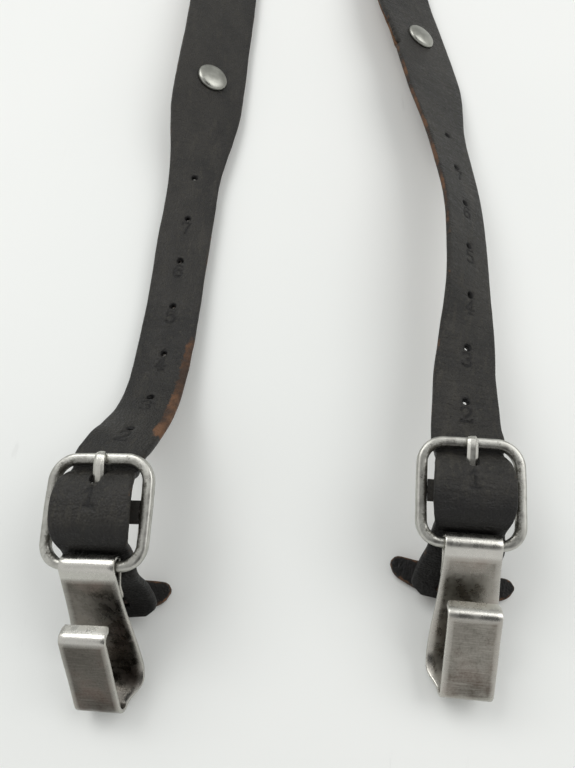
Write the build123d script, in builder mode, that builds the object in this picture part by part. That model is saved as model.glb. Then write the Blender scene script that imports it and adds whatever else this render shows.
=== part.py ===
from build123d import *
import math
import os

# Leather Y-back suspenders laid out on a table: two shoulder straps and one rear strap meet
# in a round steel ring, and each strap ends in a steel buckle that carries a flat J-hook.
# Millimetres. +Y runs from the two front hooks to the rear hook, +Z is up, z = 0 is the table.

# ---- leather -------------------------------------------------------------------------------
leather = 2.6                # thickness of a strap
billet_width = 25.4          # punched part of a strap
tip_width = 27.2             # the strap's end, from inside the buckle to its tip
loop_width = 16.0            # narrowed end that is folded round the ring
lining_thickness = 1.6
lining_inset = 1.5           # how far the lining stands back from each edge of the strap
skin_gap = 0.05              # play between pieces that lie on each other
hole_count = 7               # free holes, besides the one that the tongue goes through
hole_pitch = 25.4
first_hole = 28.9            # from the tongue's hole to the first free hole
hole_diameter = 3.2
tongue_slot_length = 10.0
tongue_slot_width = 4.8
tab_width = 12.5             # of the crosspiece under the tail
tab_stem_length = 7.0
tab_stem_width = 2.4
tab_stem_height = 10.0
table_gap = 0.1              # play between the lowest pieces and the table
lining_overlap = 16.0        # how far the lining runs past each of its rivets

# ---- buckle --------------------------------------------------------------------------------
frame_width = 34.5           # between the centres of the side bars
frame_height = 35.9          # between the centres of the top and bottom bars
frame_corner = 7.0           # corner radius at the bar's centre line
bar_width = 3.7
bar_height = 3.4
bar_rounding = 1.5
half_height = frame_height / 2
centre_bar_width = 8.0
centre_bar_height = 1.8
journal_radius = 1.2
tongue_width = 4.0
tongue_height = 2.4
tongue_eye_radius = 2.6
tongue_fit = 0.08            # radial play of the tongue on its journal
tongue_hole = 11.4           # from the centre bar to the hole that the tongue goes through
tongue_overhang = 2.4        # how far the tongue reaches past the top bar

# ---- hook ----------------------------------------------------------------------------------
hook_width = 20.0            # of the strip at its eye
hook_plate_width = 25.0      # at the foot of the plate
hook_thickness = 1.5
hook_play = 0.3              # radial play of the hook's eye on the bottom bar
hook_plate = 47.1            # from the eye to the lower bend
hook_depth = 14.9            # how far the front corner stands off the plate
hook_slope = 5.9             # how far the front corner lies beyond the lower bend
hook_flap = 35.8             # from the front corner up to the lip
hook_lip = 4.8
lower_bend = 4.5
front_bend = 3.5
lip_bend = 2.2
hook_return = 13.0           # where the strip behind the plate ends
return_start = 7.0           # where that strip meets the back of the plate
eye_radius = bar_width / 2 + hook_play + hook_thickness / 2

# ---- ring and rivets -----------------------------------------------------------------------
ring_radius = 27.0           # to the centre of the wire
ring_wire = 5.0
ring_height = 7.0            # height of the wire's centre above the table
ring_x = 15.0
ring_y = 600.0
loop_spread = 28.0           # each shoulder strap's angle from the object's length at the ring
loop_radius = 5.25           # of the leather's middle, round the wire
loop_reach = 26.4            # from the ring's centre to the middle of each loop
cap_diameter = 16.5          # of the domed rivets on the shoulder parts
cap_height = 3.2
cap_rim = 0.5                # height of a cap's upright edge
cap_gap = 0.2                # play under a cap
post_radius = 2.0
post_base = 5.0
post_base_height = 1.0
small_rivet_head = 3.6
small_rivet_shank = 1.5
small_rivet_height = 1.0
rivet_stations = (21.0, 33.0)  # from the loop's middle, along the strap
loop_squeeze = 3.7           # how much nearer the fold's two layers lie at the small rivets

# ---- the layout's middle, taken as the origin ----------------------------------------------
middle_x = 6.08
middle_y = 428.21

pieces_made = []


def save(part, label):
    """Label one finished piece and write its STEP file."""
    part.label = label
    export_step(part, f"parts/{label}.step")
    pieces_made.append(part)


def on_table(x, y, z):
    """A layout point, moved so that the object's middle is the origin."""
    return Vector(x - middle_x, y - middle_y, z)


# ---- strap routes --------------------------------------------------------------------------
class Route:
    """A smooth run through stations of (centre, across, width), walked by its length."""

    def __init__(self, stations, step=8.0):
        self.rows = []
        gaps = [max(1e-6, (b[0] - a[0]).length) for a, b in zip(stations, stations[1:])]
        slopes = [self.slope(stations, gaps, i) for i in range(len(stations))]
        for i, gap in enumerate(gaps):
            count = max(1, round(gap / step))
            for k in range(count):
                self.rows.append(self.blend(stations, slopes, gap, i, k / count))
        self.rows.append(stations[-1])
        self.length = [0.0]
        for a, b in zip(self.rows, self.rows[1:]):
            self.length.append(self.length[-1] + (b[0] - a[0]).length)

    @staticmethod
    def slope(stations, gaps, i):
        """How centre, across and width change with length at station i."""
        if i == 0:
            return [(q - p) / gaps[0] for p, q in zip(stations[0], stations[1])]
        if i == len(stations) - 1:
            return [(q - p) / gaps[-1] for p, q in zip(stations[-2], stations[-1])]
        before, after = gaps[i - 1], gaps[i]
        values = zip(stations[i - 1], stations[i], stations[i + 1])
        return [
            ((q - p) * (after / before) + (r - q) * (before / after)) / (before + after)
            for p, q, r in values
        ]

    @staticmethod
    def blend(stations, slopes, gap, i, t):
        """The cubic between stations i and i + 1."""
        start = (1 + 2 * t) * (1 - t) ** 2
        leave = t * (1 - t) ** 2 * gap
        end = t * t * (3 - 2 * t)
        arrive = t * t * (t - 1) * gap
        values = zip(stations[i], slopes[i], stations[i + 1], slopes[i + 1])
        return tuple(p * start + dp * leave + q * end + dq * arrive for p, dp, q, dq in values)

    def plane(self, s, offset=0.0):
        """The cross-section plane at length s, with its origin moved along the normal."""
        s = min(max(s, 0.0), self.length[-1])
        i = max(k for k, at in enumerate(self.length[:-1]) if at <= s)
        t = (s - self.length[i]) / (self.length[i + 1] - self.length[i])
        (c0, a0, w0), (c1, a1, w1) = self.rows[i], self.rows[i + 1]
        low, high = max(i - 1, 0), min(i + 2, len(self.rows) - 1)
        along_start = (self.rows[i + 1][0] - self.rows[low][0]).normalized()
        along_end = (self.rows[high][0] - self.rows[i][0]).normalized()
        along = (along_start * (1 - t) + along_end * t).normalized()
        across = a0 * (1 - t) + a1 * t
        across = (across - along * across.dot(along)).normalized()
        up = across.cross(along)
        origin = c0 * (1 - t) + c1 * t + up * offset
        return Plane(origin=origin, x_dir=across, z_dir=along), w0 * (1 - t) + w1 * t

    def face_up(self, s, offset=0.0):
        """The plane that lies in the strap at length s, with its normal out of the top face."""
        section = self.plane(s, offset)[0]
        return Plane(origin=section.origin, x_dir=section.x_dir, z_dir=section.x_dir.cross(section.z_dir))

    def nearest(self, y):
        """The length at which the route passes layout position y."""
        target = y - middle_y
        best = min(range(len(self.rows)), key=lambda i: abs(self.rows[i][0].Y - target))
        return self.length[best]


def table_station(before, here, after, roll, width):
    """A station whose width is level with the table, then rolled; positive lifts the left edge."""
    along = after - before
    level = Vector(along.Y, -along.X, 0).normalized()
    across = level * math.cos(math.radians(roll)) - Vector(0, 0, 1) * math.sin(math.radians(roll))
    return (here, across, width)


def strap_solid(route, thickness, inset=0.0, offset=0.0, start=0.0, end=None):
    """A ruled strip along the route, from length start to length end."""
    end = route.length[-1] if end is None else end
    stops = [start] + [s for s in route.length if start + 1.0 < s < end - 1.0] + [end]
    with BuildPart() as strip:
        for s in stops:
            section, width = route.plane(s, offset)
            with BuildSketch(section):
                Rectangle(width - 2 * inset, thickness)
        loft(ruled=True)
    return strip.part


# ---- where each buckle stands --------------------------------------------------------------
def buckle_plane(eye, yaw, pitch, roll):
    """Plane of a buckle frame: x across it, y from the hook towards the strap, origin at the centre bar."""
    across = Vector(1, 0, 0).rotate(Axis.Y, -roll).rotate(Axis.Z, yaw)
    up_frame = Vector(0, 1, 0).rotate(Axis.X, pitch).rotate(Axis.Y, -roll).rotate(Axis.Z, yaw)
    return Plane(origin=eye + up_frame * half_height, x_dir=across, z_dir=across.cross(up_frame))


def in_plane(plane, across, along, out):
    """A point given in a plane's own directions."""
    return plane.origin + plane.x_dir * across + plane.y_dir * along + plane.z_dir * out


def loop_plane(angle):
    """Vertical plane through a strap's loop at the ring: x outwards from the ring, y up."""
    outward = Vector(1, 0, 0).rotate(Axis.Z, angle)
    origin = on_table(ring_x, ring_y, ring_height) + outward * loop_reach
    return Plane(origin=origin, x_dir=outward, z_dir=outward.cross(Vector(0, 0, 1)))


# The leather's middle through a buckle, as (along the frame, out of the frame): over the centre
# bar and under the top bar, read from below the bottom bar upwards.
buckle_run = (
    (-17.9, -6.0),
    (-14.8, -5.2),
    (-12.6, -2.4),
    (-11.0, 1.4),
    (-8.2, 4.6),
    (-4.2, 6.4),
    (0.5, 6.9),
    (5.4, 6.3),
    (9.2, 4.6),
    (11.9, 1.4),
    (13.6, -2.1),
    (16.6, -4.2),
    (20.0, -4.7),
)

# The leather's middle at the ring, as (outwards from the loop's middle, height over it): down to
# the loop, round the wire and back under itself.
loop_arrival = ((46.0, -1.5), (30.0, -1.5), (19.0, -1.0), (10.5, 2.6), (3.8, 5.0))
loop_return = ((4.0, -5.2), (10.0, -4.85), (18.0, -4.6), (30.0, -4.6), (41.0, -4.6))

# Each end: the hook's eye in the layout, the buckle's yaw, pitch and roll, the hook's angle below
# the frame and its place on the bottom bar, its flap's width, the tail from its tip to the buckle,
# the stop tab (x, y, turn), its length and its stem, the run from the buckle towards the ring as
# (x, y, height, roll, width in billet widths), the strap's way out of the ring, and the rivets.
ends = {
    "left": {
        "eye": (-66.1, -84.7, 37.0),
        "turn": (-3.2, 8.6, 8.0),
        "hook_drop": 42.3,
        "hook_shift": -0.4,
        "flap_width": 16.6,
        "tail": ((-60.8, -98.2, 6.6), (-61.6, -93.6, 9.8), (-63.2, -89.2, 16.4)),
        "tab": (-64.3, -88.8, -6.0),
        "tab_length": 39.0,
        "stem": (-61.8, -92.9),
        "run": (
            (-62.4, -41.0, 35.0, -11, 1.06),
            (-59.6, -31.0, 27.0, -11, 1.03),
            (-58.0, -21.0, 18.5, -10, 1.01),
            (-57.0, -10.5, 12.0, -8, 1.0),
            (-55.6, 3.0, 8.2, -6, 1.0),
            (-54.4, 17.0, 6.8, -4, 1.0),
            (-53.0, 37.0, 6.0, -2, 1.0),
            (-51.6, 60.0, 6.0, 2, 1.0),
            (-49.6, 86.0, 6.4, 6, 1.0),
            (-48.0, 109.0, 7.2, 10, 1.02),
            (-46.6, 125.0, 8.8, 15, 1.14),
            (-45.0, 141.0, 10.3, 20, 1.33),
            (-43.5, 158.0, 11.6, 24, 1.5),
            (-42.0, 179.0, 12.4, 27, 1.54),
            (-39.8, 212.0, 12.4, 28, 1.54),
            (-38.2, 242.0, 12.0, 26, 1.54),
            (-37.0, 290.0, 9.7, 19, 1.54),
            (-37.3, 340.0, 7.2, 12, 1.54),
            (-38.3, 395.0, 5.6, 4, 1.54),
            (-38.2, 445.0, 4.8, 0, 1.5),
            (-36.4, 485.0, 4.4, 0, 1.25),
            (-29.2, 514.0, 4.8, 0, 0.9),
        ),
        "loop_angle": -90.0 - loop_spread,
        "rivets": (179.0, 436.0),
    },
    "right": {
        "eye": (64.5, -76.4, 30.2),
        "turn": (-4.9, 9.9, 2.5),
        "hook_drop": 29.9,
        "hook_shift": 0.6,
        "flap_width": 18.2,
        "tail": ((58.8, -92.0, 5.8), (60.0, -87.4, 9.0), (62.0, -82.2, 15.2)),
        "tab": (63.2, -85.0, -12.0),
        "tab_length": 47.5,
        "stem": (59.4, -89.4),
        "run": (
            (68.0, -33.0, 30.8, 1, 1.06),
            (69.3, -22.7, 29.6, 4, 1.03),
            (71.0, -10.0, 28.2, 9, 1.01),
            (73.3, 2.3, 27.3, 14, 1.0),
            (75.4, 15.0, 27.2, 22, 1.0),
            (77.2, 27.4, 27.8, 30, 1.0),
            (79.6, 53.4, 28.6, 36, 1.0),
            (81.2, 78.3, 27.0, 36, 1.0),
            (81.2, 103.5, 23.4, 33, 1.0),
            (80.4, 128.7, 19.6, 30, 1.03),
            (80.0, 141.0, 17.8, 29, 1.13),
            (79.6, 157.0, 16.0, 28, 1.34),
            (79.0, 178.0, 14.2, 28, 1.54),
            (77.6, 194.0, 13.0, 28, 1.58),
            (75.3, 212.0, 12.6, 28, 1.58),
            (72.6, 228.0, 12.4, 27, 1.6),
            (69.8, 246.0, 11.8, 25, 1.58),
            (66.2, 295.0, 9.2, 17, 1.54),
            (65.0, 345.0, 6.9, 10, 1.54),
            (65.3, 400.0, 5.4, 4, 1.54),
            (66.4, 445.0, 4.8, 0, 1.5),
            (65.2, 485.0, 4.4, 0, 1.25),
            (59.6, 514.0, 4.8, 0, 0.9),
        ),
        "loop_angle": -90.0 + loop_spread,
        "rivets": (211.0, 436.0),
    },
    "rear": {
        "eye": (23.0, 937.0, 31.0),
        "turn": (183.0, 10.0, 3.0),
        "hook_drop": 30.6,
        "hook_shift": 0.2,
        "flap_width": 17.4,
        "tail": ((26.0, 951.6, 5.4), (25.2, 947.0, 8.8), (24.4, 942.0, 15.6)),
        "tab": (24.8, 944.6, 173.0),
        "tab_length": 45.0,
        "stem": (25.6, 949.0),
        "run": (
            (20.2, 893.5, 31.0, 3, 1.06),
            (19.0, 882.0, 26.6, 3, 1.02),
            (18.0, 868.0, 20.0, 2, 1.0),
            (17.0, 852.0, 12.6, 0, 1.0),
            (16.0, 834.0, 7.0, -2, 1.0),
            (15.4, 810.0, 4.0, -3, 1.0),
            (15.0, 775.0, 3.4, -2, 1.0),
            (15.0, 735.0, 3.2, 0, 1.0),
            (15.0, 700.0, 4.2, 0, 0.85),
        ),
        "loop_angle": 90.0,
        "rivets": (),
    },
}


def strap_route(end):
    """All the stations of one strap, from the tip of its tail to the end folded under the ring."""
    buckle = buckle_plane(on_table(*end["eye"]), *end["turn"])
    loop = loop_plane(end["loop_angle"])
    loop_across = -loop.z_dir
    in_buckle = [in_plane(buckle, 0, along, out) for along, out in buckle_run]
    run = [on_table(*station[:3]) for station in end["run"]]
    arrival = [in_plane(loop, out, up, 0) for out, up in loop_arrival]
    corners = in_buckle + run + arrival
    stations = []
    for point in end["tail"]:
        stations.append((on_table(*point), buckle.x_dir, tip_width))
    for point in in_buckle:
        stations.append((point, buckle.x_dir, tip_width))
    for i, station in enumerate(end["run"]):
        here = len(in_buckle) + i
        roll, width = station[3:]
        stations.append(
            table_station(corners[here - 1], corners[here], corners[here + 1], roll, width * billet_width)
        )
    for point in arrival:
        stations.append((point, loop_across, loop_width))
    for turn in range(90, 271, 30):
        x = loop_radius * math.cos(math.radians(turn))
        y = loop_radius * math.sin(math.radians(turn))
        stations.append((in_plane(loop, x, y, 0), loop_across, loop_width))
    for out, up in loop_return:
        stations.append((in_plane(loop, out, up, 0), loop_across, loop_width))
    return Route(stations), buckle, loop


# ---- leather pieces ------------------------------------------------------------------------
def prong_length(route, buckle):
    """Length at which the route passes the tongue's hole."""
    along = [(row[0] - buckle.origin).dot(buckle.y_dir) for row in route.rows]
    past = next(i for i, at in enumerate(along) if at > tongue_hole)
    share = (tongue_hole - along[past - 1]) / (along[past] - along[past - 1])
    return route.length[past - 1] + (route.length[past] - route.length[past - 1]) * share


def make_strap(side, route, buckle, end):
    """One strap with its punched holes, the tongue's slot and the tab's slit."""
    prong = prong_length(route, buckle)
    with BuildPart() as strap:
        add(strap_solid(route, leather))
        with BuildSketch(route.face_up(prong)):
            SlotOverall(tongue_slot_length, tongue_slot_width, rotation=90)
        extrude(amount=2 * leather, both=True, mode=Mode.SUBTRACT)
        for k in range(hole_count):
            with BuildSketch(route.face_up(prong + first_hole + k * hole_pitch)):
                Circle(hole_diameter / 2)
            extrude(amount=leather, both=True, mode=Mode.SUBTRACT)
        for y in end["rivets"]:
            with BuildSketch(route.face_up(route.nearest(y))):
                Circle(post_radius)
            extrude(amount=leather, both=True, mode=Mode.SUBTRACT)
        with BuildSketch(stem_plane(end)):
            Rectangle(tab_stem_length + 0.4, tab_stem_width + 0.4)
        extrude(amount=tab_stem_height + 2.0, mode=Mode.SUBTRACT)
    save(strap.part, f"{side}_strap")


def make_lining(side, route, end):
    """The thin layer riveted under the wide part of a shoulder strap."""
    front, rear = end["rivets"]
    offset = -(leather + lining_thickness) / 2 - skin_gap
    start = route.nearest(front) - lining_overlap
    stop = route.nearest(rear) + lining_overlap
    with BuildPart() as lining:
        add(strap_solid(route, lining_thickness, lining_inset, offset, start, stop))
        for y in end["rivets"]:
            with BuildSketch(route.face_up(route.nearest(y), offset)):
                Circle(post_radius)
            extrude(amount=2 * lining_thickness, both=True, mode=Mode.SUBTRACT)
    save(lining.part, f"{side}_lining")


def tab_plane(end):
    """Plane of the stop tab's top face: x along the tab."""
    x, y, turn = end["tab"]
    along = Vector(1, 0, 0).rotate(Axis.Z, turn)
    return Plane(origin=on_table(x, y, table_gap + leather), x_dir=along, z_dir=(0, 0, 1))


def stem_plane(end):
    """Level plane at the foot of the tab's stem, under the middle of the tail."""
    origin = on_table(*end["stem"], table_gap + leather)
    return Plane(origin=origin, x_dir=tab_plane(end).x_dir, z_dir=(0, 0, 1))


def make_stop_tab(side, end):
    """The T-shaped stop: a bow-shaped crosspiece under the tail, with a stem up through its slit."""
    half = end["tab_length"] / 2
    back = tab_width * 0.4
    with BuildPart() as tab:
        with BuildSketch(tab_plane(end)):
            with BuildLine():
                Line((3.0 - half, back), (half - 3.0, back))
                ThreePointArc((half - 3.0, back), (half, back - 2.6), (half - 2.4, back - 6.4))
                ThreePointArc((half - 2.4, back - 6.4), (0, back - tab_width), (2.4 - half, back - 6.4))
                ThreePointArc((2.4 - half, back - 6.4), (-half, back - 2.6), (3.0 - half, back))
            make_face()
        extrude(amount=-leather)
        with BuildSketch(stem_plane(end)):
            Rectangle(tab_stem_length, tab_stem_width)
        extrude(amount=tab_stem_height)
    save(tab.part, f"{side}_stop_tab")


# ---- steel of one buckle -------------------------------------------------------------------
def side_plane(buckle):
    """Plane through a buckle's middle, seen from its side: x along the frame, y out of it."""
    return Plane(origin=buckle.origin, x_dir=buckle.y_dir, z_dir=buckle.x_dir)


def make_frame(side, buckle):
    """The rounded rectangular frame, drilled for the centre bar's ends."""
    with BuildPart() as frame:
        with BuildSketch(buckle.offset(-bar_height / 2)):
            RectangleRounded(frame_width + bar_width, frame_height + bar_width, frame_corner + bar_width / 2)
            RectangleRounded(
                frame_width - bar_width,
                frame_height - bar_width,
                frame_corner - bar_width / 2,
                mode=Mode.SUBTRACT,
            )
        extrude(amount=bar_height)
        fillet(frame.edges().filter_by(lambda e: on_flat(e, buckle)), bar_rounding)
        with BuildSketch(side_plane(buckle)):
            Circle(journal_radius)
        extrude(amount=frame_width / 2, both=True, mode=Mode.SUBTRACT)
    save(frame.part, f"{side}_buckle_frame")


def on_flat(edge, buckle):
    """True for an edge that lies in the frame's front or back face."""
    heights = [(edge.position_at(t) - buckle.origin).dot(buckle.z_dir) for t in (0.0, 0.5, 1.0)]
    return max(heights) - min(heights) < 0.01


def make_centre_bar(side, buckle):
    """The flat bar across the frame, with round ends and a round journal for the tongue."""
    inner_half = (frame_width - bar_width) / 2 - skin_gap
    journal_half = tongue_width / 2 + hook_play
    cheek = inner_half - journal_half
    with BuildPart() as bar:
        for way in (-1, 1):
            with BuildSketch(side_plane(buckle).offset(way * journal_half)):
                RectangleRounded(centre_bar_width, centre_bar_height, centre_bar_height * 0.45)
                Circle(journal_radius)
            extrude(amount=way * cheek)
        with BuildSketch(side_plane(buckle)):
            Circle(journal_radius)
        extrude(amount=frame_width / 2, both=True)
    save(bar.part, f"{side}_centre_bar")


def make_tongue(side, buckle):
    """The tongue: an eye round the journal and a prong that lies on the top bar."""
    rest = bar_height / 2 + skin_gap
    tip = half_height + tongue_overhang
    with BuildPart() as tongue:
        with BuildSketch(side_plane(buckle)):
            Circle(tongue_eye_radius)
            with BuildLine():
                Polyline(
                    (0.0, -tongue_height / 2),
                    (half_height - 1.5, rest),
                    (half_height + 1.0, rest),
                    (tip, rest - 0.3),
                    (tip, rest + 0.9),
                    (half_height + 0.8, rest + tongue_height),
                    (half_height - 2.0, rest + tongue_height),
                    (0.0, tongue_height / 2),
                    close=True,
                )
            make_face()
            Circle(journal_radius + tongue_fit, mode=Mode.SUBTRACT)
        extrude(amount=tongue_width / 2, both=True)
    save(tongue.part, f"{side}_tongue")


def hook_plane(end, buckle):
    """Plane of a hook's profile at its eye: x down the plate, y out of the plate's front."""
    eye = in_plane(buckle, end["hook_shift"], -half_height, 0)
    drop = math.radians(end["hook_drop"])
    down_plate = buckle.y_dir * -math.cos(drop) - buckle.z_dir * math.sin(drop)
    return Plane(origin=eye, x_dir=down_plate, z_dir=-buckle.x_dir)


def make_hook(side, end, buckle):
    """The J-hook, one strip bent round the bottom bar, down the plate and up into the flap."""
    behind = eye_radius - hook_thickness - skin_gap
    lean = math.atan2(behind, return_start) - math.acos(eye_radius / math.hypot(return_start, behind))
    squeezed = (eye_radius * math.cos(lean), eye_radius * math.sin(lean))
    corner = (hook_plate + hook_slope, eye_radius + hook_depth)
    lip = (corner[0] - hook_flap, corner[1] - 2.0)
    plate_widths = ((-9.0, hook_width), (6.0, hook_width), (42.0, hook_plate_width), (70.0, hook_plate_width))
    flap_width = end["flap_width"]
    flap_widths = ((-9.0, hook_plate_width), (6.0, hook_plate_width), (11.6, flap_width), (30.0, flap_width))
    profile = hook_plane(end, buckle)
    with BuildPart() as hook:
        with BuildSketch(profile):
            with BuildLine():
                FilletPolyline((hook_return, behind), (return_start, behind), squeezed, radius=2.0)
                CenterArc((0, 0), eye_radius, math.degrees(lean), -(270 + math.degrees(lean)))
                FilletPolyline(
                    (0, eye_radius),
                    (hook_plate, eye_radius),
                    corner,
                    lip,
                    (lip[0] - 0.8, lip[1] - hook_lip),
                    radius=(lower_bend, front_bend, lip_bend),
                )
            trace(line_width=hook_thickness)
        extrude(amount=hook_plate_width / 2, both=True)
        with BuildSketch(Plane(origin=profile.origin, x_dir=profile.x_dir, z_dir=profile.y_dir)):
            with BuildLine():
                Polyline(*strip_outline(plate_widths), close=True)
            make_face()
        extrude(amount=3 * hook_depth, both=True, mode=Mode.INTERSECT)
        with BuildSketch(Plane(origin=profile.origin, x_dir=profile.y_dir, z_dir=profile.x_dir)):
            with BuildLine():
                Polyline(*strip_outline(flap_widths), close=True)
            make_face()
        extrude(amount=3 * hook_flap, both=True, mode=Mode.INTERSECT)
    save(hook.part, f"{side}_hook")


def strip_outline(widths):
    """Corners of a symmetrical outline, from (place along it, width) pairs."""
    return [(at, width / 2) for at, width in widths] + [(at, -width / 2) for at, width in reversed(widths)]


# ---- rivets --------------------------------------------------------------------------------
def under_loop(loop, out):
    """Level plane below a folded strap end, at one small rivet."""
    return Plane(origin=in_plane(loop, out, table_gap - ring_height, 0), x_dir=loop.x_dir, z_dir=(0, 0, 1))


def make_shoulder_rivets(side, route, end):
    """Two domed caps on the strap and two posts up through lining and strap."""
    top = leather / 2 + cap_gap
    bottom = -leather / 2 - 2 * skin_gap - lining_thickness
    with BuildPart() as caps:
        for y in end["rivets"]:
            face = route.face_up(route.nearest(y), top)
            with BuildSketch(face):
                Circle(cap_diameter / 2)
            extrude(amount=cap_height)
            crown = face.offset(cap_height).origin
            circles = caps.edges().filter_by(GeomType.CIRCLE)
            fillet(circles.filter_by(lambda e: (e.arc_center - crown).length < 0.01), cap_height - cap_rim)
    save(caps.part, f"{side}_rivet_caps")
    with BuildPart() as posts:
        for y in end["rivets"]:
            face = route.face_up(route.nearest(y), bottom)
            with BuildSketch(face):
                Circle(post_base)
            extrude(amount=-post_base_height)
            with BuildSketch(face):
                Circle(post_radius)
            extrude(amount=top - bottom)
    save(posts.part, f"{side}_rivet_posts")


def make_loop_rivets(side, loop):
    """Two small rivets that close the strap's fold behind the ring."""
    thickness = 2 * loop_radius - 2 * loop_squeeze + leather
    with BuildPart() as rivets:
        for out in rivet_stations:
            base = under_loop(loop, out)
            with BuildSketch(base):
                Circle(small_rivet_head)
            extrude(amount=small_rivet_height)
            with BuildSketch(base):
                Circle(small_rivet_shank)
            extrude(amount=small_rivet_height + thickness)
            with BuildSketch(base.offset(small_rivet_height + thickness)):
                Circle(small_rivet_head)
            extrude(amount=small_rivet_height, taper=35)
    save(rivets.part, f"{side}_loop_rivets")


def make_ring():
    """The round wire ring that joins the three straps."""
    centre = on_table(ring_x, ring_y, ring_height)
    with BuildPart() as ring:
        with BuildSketch(Plane(origin=centre + Vector(ring_radius, 0, 0), x_dir=(1, 0, 0), z_dir=(0, 1, 0))):
            Circle(ring_wire / 2)
        revolve(axis=Axis(centre, (0, 0, 1)))
    save(ring.part, "back_ring")


# ---- the whole object ----------------------------------------------------------------------
os.makedirs("parts", exist_ok=True)
make_ring()
for side, end in ends.items():
    route, buckle, loop = strap_route(end)
    make_strap(side, route, buckle, end)
    make_stop_tab(side, end)
    make_frame(side, buckle)
    make_centre_bar(side, buckle)
    make_tongue(side, buckle)
    make_hook(side, end, buckle)
    make_loop_rivets(side, loop)
    if end["rivets"]:
        make_lining(side, route, end)
        make_shoulder_rivets(side, route, end)

whole = Compound(children=pieces_made).bounding_box()
print("box", whole.min, whole.max)
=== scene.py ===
from bisect import bisect_right
from math import acos, atan2, copysign, cos, exp, hypot, pi, radians, sin, sqrt, tan, tau
import bmesh
import bpy
from mathutils import Matrix, Vector, noise


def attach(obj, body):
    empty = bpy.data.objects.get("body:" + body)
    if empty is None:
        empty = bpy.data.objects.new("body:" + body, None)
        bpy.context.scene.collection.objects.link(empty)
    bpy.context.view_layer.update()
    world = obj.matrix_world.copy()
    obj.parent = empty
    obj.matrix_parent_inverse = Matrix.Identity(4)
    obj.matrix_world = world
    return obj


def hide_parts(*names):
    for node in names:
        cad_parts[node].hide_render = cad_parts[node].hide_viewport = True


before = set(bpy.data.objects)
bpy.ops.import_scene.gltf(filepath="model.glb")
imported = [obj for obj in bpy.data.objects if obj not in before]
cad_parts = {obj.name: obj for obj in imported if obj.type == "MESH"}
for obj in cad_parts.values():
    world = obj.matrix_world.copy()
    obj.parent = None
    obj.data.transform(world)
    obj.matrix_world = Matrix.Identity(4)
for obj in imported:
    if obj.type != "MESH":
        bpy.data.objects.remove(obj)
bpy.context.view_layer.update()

# Old leather Y-back suspenders on a pale table. Lengths are millimetres until new_piece() turns them into
# metres.
# +Y runs from the two front hooks to the rear hook, +Z is up, z = 0 is the table.

# ---- sizes, as in the CAD ----
LEATHER = 2.6
BILLET = 25.4
LOOP_WIDTH = 16
LINING = 1.6
LINING_INSET = 1.5
SKIN_GAP = 0.05
HOLES = 7
PITCH = 25.4
HOLE_RADIUS = 1.6
SLOT_LENGTH = 10
SLOT_WIDTH = 4.8
TIP_WIDTH = 27.2
TAB_WIDTH = 12.5
STEM_LENGTH = 7
STEM_WIDTH = 2.4
STEM_HEIGHT = 10
TABLE_GAP = 0.1
LINING_OVERLAP = 16
FRAME_WIDTH = 34.5
FRAME_HEIGHT = 35.9
FRAME_CORNER = 7.8  # at the top bar
FOOT_CORNER = 7.1  # at the bottom bar, beside the hook's eye
BAR_WIDTH = 3.7
BAR_HEIGHT = 3.4
HALF = FRAME_HEIGHT / 2
CENTRE_BAR_WIDTH = 8
CENTRE_BAR_HEIGHT = 1.8
JOURNAL = 1.2
TONGUE_WIDTH = 4
TONGUE_FIT = 0.08
TONGUE_HOLE = 11.4
FIRST_HOLE = 28.9
OVERHANG = 2.4
HOOK_WIDTH = 20
HOOK_PLATE_WIDTH = 25
HOOK_THICK = 1.5
HOOK_PLAY = 0.3
HOOK_PLATE = 47.1
HOOK_DEPTH = 14.9
HOOK_SLOPE = 5.9
HOOK_FLAP = 35.8
HOOK_LIP = 4.8
LOWER_BEND = 9
FRONT_BEND = 4
LIP_BEND = 2.2
HOOK_RETURN = 13
RETURN_START = 7
EYE = BAR_WIDTH / 2 + HOOK_PLAY + HOOK_THICK / 2
RING_RADIUS = 27
RING_WIRE = 5
RING_CENTRE = (15, 600, 7)
LOOP_SPREAD = 28
LOOP_RADIUS = 5.25
LOOP_REACH = 26.4
LOOP_SQUEEZE = 3.7
CAP_DIAMETER = 16.5
CAP_HEIGHT = 3.2
CAP_GAP = 0.2
POST_RADIUS = 2
POST_BASE = 5
POST_BASE_HEIGHT = 1
SMALL_HEAD = 3.6
SMALL_SHANK = 1.5
SMALL_HEIGHT = 1
RIVET_STATIONS = (21, 33)
MIDDLE_X = 6.08
MIDDLE_Y = 428.21
UP = Vector((0, 0, 1))
EAST = Vector((1, 0, 0))


def on_table(x, y, z):
    return Vector((x - MIDDLE_X, y - MIDDLE_Y, z))


def around(angle):
    return Vector((cos(angle), sin(angle)))


def turned(vector, axis, degrees):
    return Matrix.Rotation(radians(degrees), 3, axis) @ vector


class Plane:
    """A place with three directions: x, y and z."""

    def __init__(self, origin, x, z):
        self.origin = origin
        self.x = x.normalized()
        self.z = z.normalized()
        self.y = self.z.cross(self.x)

    def at(self, a, b, c=0):
        return self.origin + self.x * a + self.y * b + self.z * c


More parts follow.
